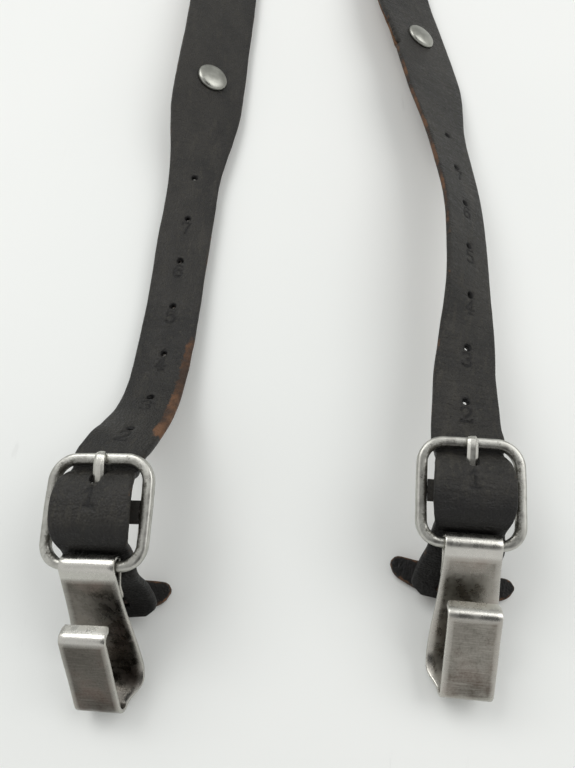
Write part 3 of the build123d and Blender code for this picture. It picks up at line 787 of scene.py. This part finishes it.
def make_lining(side, end, route, rivets, look):
    """The suede layer under the wide part, with the two rivets' holes."""
    seed = end["seed"] + 40
    start, stop = rivets[0] - LINING_OVERLAP, rivets[1] + LINING_OVERLAP

    def width_change(s, way):
        change = -LINING_INSET - round_end(s - start + 0.15, 5) - round_end(stop - s + 0.15, 5)
        return change + wander(s, way * 30, seed, 9, 0.3)

    def profile(s, t, level, _):
        return (wander(s, t, seed, 6, 0.12) if level < 0 else 0), 0, 0.3

    rows = spaced_rows(start, stop, 2.4, [fine_span(at, "rivet") for at in rivets])
    mesh = StrapMesh(route, LINING, profile, width_change, -(LEATHER + LINING) / 2 - SKIN_GAP)
    mesh.build(rows, [opening(rows, at, "rivet") for at in rivets])
    mesh.piece(side, ("lining_leather", "strap", "lining"), look, "brown_leather")


# ---- swept and turned pieces ----
class Sweep:
    """Rings of points joined one to the next; a point is (position, place, patina and painted shade, wear
    and painted highlight).
    """

    def __init__(self, closed=False):
        self.closed = closed
        self.rings, self.points = [], []

    def start(self):
        self.rings.append([])

    def point(self, *point):
        self.rings[-1].append(len(self.points))
        self.points.append(point)

    def faces(self):
        first, last = self.rings[0], self.rings[-1]
        faces = [] if self.closed else [tuple(ring) for ring in (first, last) if len(ring) > 2]
        rings = self.rings + [first] if self.closed else self.rings
        for a, b in zip(rings, rings[1:]):
            count = max(len(a), len(b))
            for k in range(count):
                n = (k + 1) % count
                quad = (a[k % len(a)], a[n % len(a)], b[n % len(b)], b[k % len(b)])
                faces.append(tuple(dict.fromkeys(quad)))
        return faces

    def piece(self, prefix, names, look, slot, sharp=None):
        verts, places, patina_and_shade, wear_and_highlight = zip(*self.points)
        values = {"patina_and_shade": patina_and_shade, "wear_and_highlight": wear_and_highlight}
        new_piece(prefix, names, verts, self.faces(), places, values, look, sharp)


def filleted(corners, radii):
    """A flat path through corners, with the inner ones rounded."""
    path = [Vector(corners[0])]
    for before, here, after, radius in zip(corners, corners[1:], corners[2:], radii):
        here = Vector(here)
        back = (Vector(before) - here).normalized()
        ahead = (Vector(after) - here).normalized()
        half = back.angle(ahead) / 2
        middle = here + (back + ahead).normalized() * (radius / sin(half))
        start = here + back * (radius / tan(half)) - middle
        stop = here + ahead * (radius / tan(half)) - middle
        first = atan2(start.y, start.x)
        turn = (atan2(stop.y, stop.x) - first + pi) % tau - pi
        count = max(5, round(abs(turn) * radius / 0.6))
        path += [middle + around(first + turn * k / count) * radius for k in range(count + 1)]
    path.append(Vector(corners[-1]))
    return path


def evened(path, step):
    """The same path with points added on its long straight stretches."""
    points = []
    for a, b in zip(path, path[1:]):
        if (b - a).length > 0.01:
            count = max(1, round((b - a).length / step))
            points += [a.lerp(b, k / count) for k in range(count)]
    return points + [path[-1]]


def directions(path, closed=False):
    """The way along a path at each of its points."""
    before, after = (path[-1:], path[:1]) if closed else (path[:1], path[-1:])
    padded = before + path + after
    return [(b - a).normalized() for a, b in zip(padded, padded[2:])]


def flat_ring(half_width, thickness, columns):
    """Cross-section of a strip as (across, out) pairs, with rounded edges."""
    half = thickness / 2
    inner = half_width - half * 0.75
    row = [inner * (2 * k / columns - 1) for k in range(columns + 1)]
    nose, round_off = (half_width, half * 0.32), (inner + half * 0.5, half * 0.82)
    edge = [round_off, nose, (nose[0], -nose[1]), (round_off[0], -round_off[1])]
    return [(a, half) for a in row] + edge + [(-a, -half) for a in row] + [(-a, -h) for a, h in edge]


def oval(half_a, half_b, power_a, power_b, count):
    """Points of a rounded, squared-off oval."""
    points = []
    for k in range(count):
        c, s = around(tau * (k + 0.5) / count)
        a = copysign(abs(c) ** power_a, c) * half_a
        points.append((a, copysign(abs(s) ** power_b, s) * half_b))
    return points


def make_hook(prefix, end, buckle, look):
    """The J-hook: one strip round the bottom bar, down the plate and up into the flap."""
    seed = end["seed"]
    profile = hook_plane(end, buckle)
    behind = EYE - HOOK_THICK - SKIN_GAP
    lean = atan2(behind, RETURN_START) - acos(EYE / hypot(RETURN_START, behind))
    corner = (HOOK_PLATE + HOOK_SLOPE, EYE + HOOK_DEPTH)
    lip = (corner[0] - HOOK_FLAP, corner[1] - 2)
    path = filleted(((HOOK_RETURN, behind), (RETURN_START, behind), around(lean) * EYE), (2,))
    turn = 1.5 * pi + lean
    path += [around(lean - turn * k / 26) * EYE for k in range(1, 27)]
    corners = ((0, EYE), (HOOK_PLATE, EYE), corner, lip, (lip[0] - 0.8, lip[1] - HOOK_LIP))
    path += filleted(corners, (LOWER_BEND, FRONT_BEND, LIP_BEND))[1:]
    path = evened(path, 1.3)
    total = sum((b - a).length for a, b in zip(path, path[1:]))
    widest = HOOK_PLATE_WIDTH / 2
    sweep = Sweep()
    s = 0
    for i, (p, way) in enumerate(zip(path, directions(path))):
        if i:
            s += (p - path[i - 1]).length
        out = Vector((-way.y, way.x))
        plate = HOOK_WIDTH / 2 + (widest - HOOK_WIDTH / 2) * between(p.x, 4, 46)
        flap = widest + (end["flap_width"] / 2 - widest) * between(p.y, 5, 13)
        half = min(plate, flap) + wander(s, seed, 3, 15, 0.22)
        half -= round_end(s + 0.04, 1.5) + round_end(total - s + 0.04, 1.5)
        # Painted highlight: light bands at the eye, where the steel is also worn, along the lip and at the
        # flap's lower corner.
        eye = between(p.x, 4.6, 2.6) if p.y > -2.6 else 0.3
        lip_highlight = between(p.x, lip[0] + 2.6, lip[0] + 0.8) if p.y > 8 else 0
        low = 0.5 * between(p.x, 46, 52.5) if p.y > 9 else 0
        crease = between(p.x, 3.4, 5.2) * between(p.x, 12, 7) if p.y < 6 else 0
        foot = 0.12 * between(p.x, 34, 44) + 0.2 * between(p.y, 12, 15)
        sweep.start()
        for a, h in flat_ring(half, HOOK_THICK, 10):
            edge = between(abs(a), half - 0.9, half - 0.3)
            q = p + out * (h + wander(s, a, seed, 6, 0.07) + wander(s, a, seed + 9, 18, 0.14))
            # The painted highlight is full on one face of the strip, which is the plate's face towards the
            # flap and the flap's face away from the plate, and a quarter on the other face. The edges are
            # worn bright.
            face = 1 if (h > 0) == (p.y < 9) else 0.25
            wear_and_highlight = max(face * max(eye, lip_highlight, low), edge * 0.75)
            # Patina, a little more by the eye's crease, and darker towards the plate's lower end and on the
            # flap; less under the painted highlights at the eye and lip.
            patina_and_shade = 0.36 + 0.16 * crease + foot - 0.25 * max(eye, lip_highlight)
            sweep.point(profile.at(q.x, q.y, a), (s, a, h), patina_and_shade, wear_and_highlight)
    sweep.piece(prefix, ("hook_strip", "hook", "hook"), look, "hook_steel", 40)


def make_frame(prefix, seed, buckle, look):
    """The buckle's frame: a bar with soft edges, bowed a little, dark on its inner side from patina and
    painted shade.
    """
    side = FRAME_WIDTH / 2
    corners = [(side, 0), (side, HALF), (-side, HALF), (-side, -HALF), (side, -HALF), (side, 0)]
    path = filleted(corners, (FRAME_CORNER, FRAME_CORNER, FOOT_CORNER, FOOT_CORNER))
    bowed = []
    for p in evened(path, 1.2)[:-1]:
        x = p.x + copysign(0.35, p.x) * max(0, 1 - (p.y / HALF) ** 2) * (abs(p.x) / side)
        lift = 0.25 * max(0, 1 - (p.x / side) ** 2) * (p.y / HALF) if p.y > 0 else 0
        bowed.append(Vector((x, p.y + lift)))
    sweep = Sweep(closed=True)
    for p, way in zip(bowed, directions(bowed, True)):
        out = Vector((way.y, -way.x))
        sweep.start()
        bearing = between(-p.y, 13, 16) * between(-abs(p.x), -15, -12)
        fuller = 0.16 * (1 - bearing)
        power = 0.62 + 0.3 * bearing
        for a, h in oval(BAR_WIDTH / 2 + fuller, BAR_HEIGHT / 2 + fuller * 0.2, power, power, 20):
            swell = 1 + wander(p.x, p.y, seed, 8, 0.05) * (1 - bearing)
            q = p + out * (a * swell)
            # Darker on the inner side from patina and painted shade, and more where the centre bar meets
            # the frame, a painted shade.
            inside = between(-a, 0.1, 1.3)
            beside_bar = between(abs(p.x), 14, 16.5) * between(abs(p.y), 7, 4) * inside
            patina_and_shade = 0.46 + 0.2 * inside + 0.3 * beside_bar
            # Lighter on the upper outer side from wear and a painted highlight.
            wear_and_highlight = 0.36 * between(a, -0.6, 1.2) * between(h, -0.4, 0.8)
            sweep.point(buckle.at(q.x, q.y, h * swell), (q.x + 50, q.y, h), patina_and_shade, wear_and_highlight)
    sweep.piece(prefix, ("frame_bar", "buckle", "buckle_frame"), look, "buckle_steel")


def make_centre_bar(prefix, seed, buckle, look):
    """The flat bar across the frame, waisted to a round journal for the tongue."""
    inner = (FRAME_WIDTH - BAR_WIDTH) / 2 - SKIN_GAP
    journal = TONGUE_WIDTH / 2 + HOOK_PLAY
    cheek = (CENTRE_BAR_WIDTH / 2, CENTRE_BAR_HEIGHT / 2, 0.42, 0.6)
    waist = (JOURNAL, JOURNAL, 1, 1)
    stops = [(-FRAME_WIDTH / 2, waist), (-inner, waist), (-inner, cheek)]
    stops += [(-inner + (inner - journal) * k / 6, cheek) for k in range(1, 7)]
    stops += [(-journal, waist), (0, waist)]
    stops += [(-x, shape) for x, shape in stops[-2::-1]]
    sweep = Sweep()
    for x, shape in stops:
        sweep.start()
        for a, h in oval(*shape, 24):
            dent = 1 + (wander(x, a, seed, 5, 0.06) if shape is cheek else 0)
            # Painted shade: the whole bar is strongly darkened, standing for the shadow it sits in within
            # the buckle.
            sweep.point(buckle.at(x, a, h * dent), (x, a, h), 0.75, 0.1)
    sweep.piece(prefix, ("centre_bar_steel", "buckle", "centre_bar"), look, "buckle_steel", 40)


def make_tongue(prefix, seed, buckle, look):
    """The tongue: a strip curled round the journal and swaged into a faceted prong."""
    eye = JOURNAL + TONGUE_FIT + 0.66
    curl = [around(radians(-35 - 235 * k / 22)) * eye for k in range(23)]
    stops = [(*p, 1.3, TONGUE_WIDTH) for p in curl]
    stops += [
        (2, eye, 1.3, 4), (4.2, 1.85, 1.6, 4), (7.4, 1.7, 2.1, 3.9), (11, 2.05, 2.4, 3.9),
        (15, 2.75, 2.4, 3.9), (HALF - 0.9, 3, 2.4, 3.8), (HALF + 0.9, 2.85, 2.2, 3.5),
        (HALF + 1.9, 2.4, 1.5, 3.1), (HALF + OVERHANG, 2.05, 0.8, 2.6),
    ]
    path = [Vector(stop[:2]) for stop in stops]
    sweep = Sweep()
    for (y, _, thickness, width), p, way in zip(stops, path, directions(path)):
        out = Vector((-way.y, way.x))
        a, b = width / 2, thickness / 2
        flat = 0.3 if y < 3 else 0.55
        right = [(a * 0.8, -b), (a, -b * 0.5), (a, b * flat), (a * 0.48, b)]
        sweep.start()
        for across, h in [(-a, -b * 0.5), (-a * 0.8, -b)] + right + [(-a * 0.48, b), (-a, b * flat)]:
            q = p + out * (h + wander(y, across, seed, 3, 0.05))
            wear_and_highlight = between(y, 10, 15) * (0.75 if h > 0 else 0.2)
            sweep.point(buckle.at(across, q.x, q.y), (y, across, h), 0.4 - 0.2 * wear_and_highlight, wear_and_highlight)
    sweep.piece(prefix, ("tongue_prong", "tongue", "tongue"), look, "tongue_steel", 22)


def turned_piece(prefix, names, plane, outline, look, slot, steps=40):
    """A piece turned about a plane's normal, from its top on the axis to its foot on the axis."""
    sweep = Sweep()
    for radius, height in outline:
        sweep.start()
        if radius == 0:
            sweep.point(plane.at(0, 0, height), (0, 0, height), 0.2, 0.5)
            continue
        for k in range(steps):
            x, y = around(tau * k / steps) * radius
            dent = wander(x, y, plane.origin.x, 3, 0.06) if height > 0.5 else 0
            # Painted shade: darker on the lowest 1.6 mm of each turned piece, such as the caps' rims, for
            # the shadow round them.
            patina_and_shade = 0.25 + 0.4 * between(height, 1.6, 0.5)
            sweep.point(plane.at(x, y, height + dent), (x, y, height), patina_and_shade, 0.3)
    sweep.piece(prefix, names, look, slot, 50)


def make_shoulder_rivets(prefix, stations, cad_route, look):
    """The domed caps on the strap, and the posts that come up through lining and strap."""
    radius, foot = CAP_DIAMETER / 2, 0.55
    dome = [(0, CAP_HEIGHT)]
    for angle in range(9, 91, 9):
        c, s = around(radians(angle))
        dome.append((radius * s, foot + (CAP_HEIGHT - foot) * max(0, c) ** 0.8))
    dome += [(radius, 0.3), (radius - 0.3, 0), (0, 0)]
    top = LEATHER / 2 + CAP_GAP
    bottom = -LEATHER / 2 - 2 * SKIN_GAP - LINING
    post = (
        (0, top - bottom), (POST_RADIUS, top - bottom), (POST_RADIUS, 0), (POST_BASE, 0),
        (POST_BASE, -0.5), (POST_BASE - 0.5, -POST_BASE_HEIGHT), (0, -POST_BASE_HEIGHT),
    )
    for k, at in enumerate(stations, 1):
        for part, height, outline in (("cap", top, dome), ("post", bottom, post)):
            names = (f"rivet_{part}_{k}", "strap", f"rivet_{part}s")
            turned_piece(prefix, names, cad_route.face_up(at, height), outline, look, "rivet_nickel")


def make_loop_rivets(prefix, loop, look):
    """The small rivets that close the fold behind the ring."""
    top = SMALL_HEIGHT + 2 * LOOP_RADIUS - 2 * LOOP_SQUEEZE + LEATHER
    outline = (
        (0, top + SMALL_HEIGHT), (1.6, top + 0.92), (2.8, top + 0.6), (3.45, top + 0.2),
        (SMALL_HEAD, top), (SMALL_SHANK, top), (SMALL_SHANK, SMALL_HEIGHT), (SMALL_HEAD, SMALL_HEIGHT),
        (SMALL_HEAD, 0.3), (SMALL_HEAD - 0.3, 0), (0, 0),
    )
    for k, out in enumerate(RIVET_STATIONS, 1):
        plane = Plane(loop.at(out, TABLE_GAP - RING_CENTRE[2]), loop.x, UP)
        names = (f"loop_rivet_{k}", "strap", "loop_rivets")
        turned_piece(prefix, names, plane, outline, look, "rivet_copper", 28)


def make_ring(look):
    """The round wire ring with its welded joint."""
    centre = on_table(*RING_CENTRE)
    sweep = Sweep(closed=True)
    for i in range(120):
        angle = tau * i / 120
        out = around(angle).to_3d()
        weld = exp(-((angle - 2.2) / 0.05) ** 2) * 0.06
        sweep.start()
        for a, h in oval(RING_WIRE / 2, RING_WIRE / 2, 1, 1, 18):
            swell = 1 + weld + wander(angle * 27, a, h, 9, 0.015)
            at = centre + out * (RING_RADIUS + a * swell) + Vector((0, 0, h * swell))
            # Darker on the wire's inner side, and lighter along its top from wear and a painted highlight.
            patina_and_shade = 0.25 + 0.4 * between(-a, 0.4, 2)
            sweep.point(at, (angle * RING_RADIUS, a, h), patina_and_shade, 0.4 * between(h, 0.8, 2.2))
    sweep.piece("", ("back_ring_wire", "ring", "back_ring"), look, "buckle_steel")


def make_stop_tab(prefix, end, look):
    """The T-shaped stop: a bow-shaped crosspiece and the stem that comes up through the tail."""
    x0, y0, angle = end["tab"]
    along = turned(EAST, "Z", angle)
    plane = Plane(on_table(x0, y0, TABLE_GAP + LEATHER / 2), along, UP)
    half = end["tab_length"] / 2
    back = TAB_WIDTH * 0.4
    seed = end["seed"]
    cross = Sweep()
    count = round(2 * half / 1.2)
    for i in range(count + 1):
        x = half * (2 * i / count - 1)
        front = back - TAB_WIDTH + (TAB_WIDTH - 6.4) * (x / half) ** 2
        draw = round_end(half - abs(x) + 0.12, 3.6)
        centre = (back + front) / 2
        reach = (back - front) / 2 - draw * 0.85 + wander(x, seed, 0, 6, 0.15)
        curl = 1.1 * (x / half) ** 4
        cross.start()
        for a, h in flat_ring(reach, LEATHER, 8):
            edge = between(abs(a), reach - 1.6, reach - 0.3)
            at = plane.at(x, centre + a, h + curl + (wander(x, a, seed, 5, 0.2) if h > 0 else 0))
            cross.point(at, (x, centre + a, h), 0.3, 0.3 + 0.34 * edge)
    cross.piece(prefix, ("tab_crosspiece", "strap", "stop_tab"), look, "black_leather")
    foot = Plane(on_table(*end["stem"], TABLE_GAP + LEATHER), along, UP)
    stem = Sweep()
    for k in range(9):
        height = -0.6 + (STEM_HEIGHT + 0.6) * k / 8
        draw = round_end(STEM_HEIGHT - height + 0.2, 1.6)
        stem.start()
        for a, h in flat_ring(STEM_LENGTH / 2 - draw, STEM_WIDTH - draw * 0.5, 4):
            stem.point(foot.at(a, h, height), (a, height, h), 0.3, 0.45)
    stem.piece(prefix, ("tab_stem", "strap", "stop_tab"), look, "black_leather", 40)


# ---- camera, light and floor ----
def make_camera():
    data = bpy.data.cameras.new("camera")
    data.lens = 29.16
    data.sensor_width = 36
    data.clip_start, data.clip_end = 0.01, 20
    camera = in_scene("camera", data)
    camera.location = (-0.00608, -0.54601, 0.2526)
    camera.rotation_euler = (radians(25), 0, 0)
    bpy.context.scene.camera = camera


def area_light(name, place, power):
    """A soft square light that faces the front ends."""
    data = bpy.data.lights.new(name, "AREA")
    data.shape = "RECTANGLE"
    data.size = data.size_y = 0.9
    data.energy = power
    light = in_scene(name, data)
    light.location = place
    aim = Vector((0, -0.3, 0)) - Vector(place)
    light.rotation_euler = aim.to_track_quat("-Z", "Y").to_euler()


def make_room():
    """A grey room that is brightest round its middle heights, as the steel mirrors it."""
    m = Shader("room", "worlds")
    way = m.add("TexCoord", {}).outputs["Generated"]
    bright_way = Vector((0.05, -0.42, 0.9)).normalized()
    height = m.add("VectorMath", {0: way, 1: bright_way}, operation="DOT_PRODUCT").outputs["Value"]
    ramp = m.add("ValToRGB", {"Fac": height})
    stops = ramp.color_ramp.elements
    stops[0].position, stops[0].color = 0, (0.62, 0.63, 0.62, 1)
    stops[1].position, stops[1].color = 1, (0.10, 0.10, 0.10, 1)
    for at, value in ((0.55, 0.95), (0.8, 1), (0.9, 0.34), (0.955, 0.12)):
        stops.new(at).color = (value, value, value, 1)
    colour = ramp.outputs["Color"]
    bpy.context.scene.world = m.finish("Background", Color=colour, Strength=0.84)
    area_light("key", (-0.75, 0.35, 1.25), 7.9)
    area_light("fill", (0.8, -0.1, 1.1), 5)
    bpy.context.scene.view_settings.view_transform = "Standard"


def make_floor():
    size = 3
    corners = [(-size, -size, 0), (size, -size, 0), (size, size, 0), (-size, size, 0)]
    mesh = bpy.data.meshes.new("table")
    mesh.from_pydata(corners, [], [(0, 1, 2, 3)])
    m = Shader("pale_table")
    place = m.add("NewGeometry", {}).outputs["Position"]
    cloud = m.noise(place, 3, 3)
    marks = m.noise(m.stretched(place, (1, 0.12, 1), (0.3, 0, 0)), 60, 4, 0.7, 1.5)
    base = m.mix(m.ramp(cloud, 0.3, 0.7), rgb(238, 240, 237), rgb(242, 243, 240))
    base = m.over(base, (214, 215, 212), marks, 0.68, 0.74, 0, 0.25)
    mesh.materials.append(m.finish(Base_Color=base, Roughness=0.5, Specular_IOR_Level=0.3))
    in_scene("table", mesh)


make_camera()
make_room()
make_floor()

LEATHERS = {
    "left": leather_material("left_leather", 0.31, 0.9),
    "right": leather_material("right_leather", 1.73, 1.5),
    "rear": leather_material("rear_leather", 2.9, 1),
}
SUEDE = suede_material("lining_suede", 0.7)
# Each steel in its bright, middle and dark colour, with its roughness.
FRAME_STEEL = steel_material("frame_steel", ((192, 192, 185), (150, 149, 143), (84, 82, 75)), 0.34)
# The centre bar's very dark steel is painted shade, for the shadow it sits in within the buckle.
SHADED_BAR_STEEL = steel_material("shaded_bar_steel", ((66, 62, 56), (48, 45, 40), (30, 28, 25)), 0.5)
TONGUE_STEEL = steel_material("tongue_steel", ((198, 197, 189), (164, 162, 154), (88, 84, 76)), 0.3)
# The left hook has darker colours than the other two.
LIGHT_HOOK = ((170, 167, 158), (142, 138, 130), (88, 84, 76))
DARKER_HOOK = ((120, 116, 109), (92, 88, 82), (58, 54, 49))
HOOKS = {"left": (DARKER_HOOK, 0.26), "right": (LIGHT_HOOK, 0.28), "rear": (LIGHT_HOOK, 0.28)}
BRUSHED = (1, 0.06, 1)
NICKEL = steel_material("rivet_nickel", ((160, 161, 153), (128, 129, 121), (78, 78, 71)), 0.36)
COPPER = steel_material("rivet_copper", ((156, 104, 74), (122, 80, 58), (60, 44, 36)), 0.38)
make_ring(FRAME_STEEL)
for side, end in ENDS.items():
    prefix, seed = side + "_", end["seed"]
    stations, buckle, loop = strap_stations(end)
    route, cad_route = Route(stations, 1.5), Route(stations, 8)
    at_rivets = [cad_route.nearest(y) for y in end["rivets"]]
    rivets = [route.nearest_to(cad_route.place(at)[0]) for at in at_rivets]
    make_strap(side, end, route, buckle, rivets, LEATHERS[side])
    make_stop_tab(prefix, end, LEATHERS[side])
    make_frame(prefix, seed, buckle, FRAME_STEEL)
    make_centre_bar(prefix, seed, buckle, SHADED_BAR_STEEL)
    make_tongue(prefix, seed, buckle, TONGUE_STEEL)
    hook_steel = steel_material(f"{side}_hook_steel", *HOOKS[side], BRUSHED, 0.3, 0.4)
    make_hook(prefix, end, buckle, hook_steel)
    make_loop_rivets(prefix, loop, COPPER)
    if rivets:
        make_lining(side, end, route, rivets, SUEDE)
        make_shoulder_rivets(prefix, at_rivets, cad_route, NICKEL)
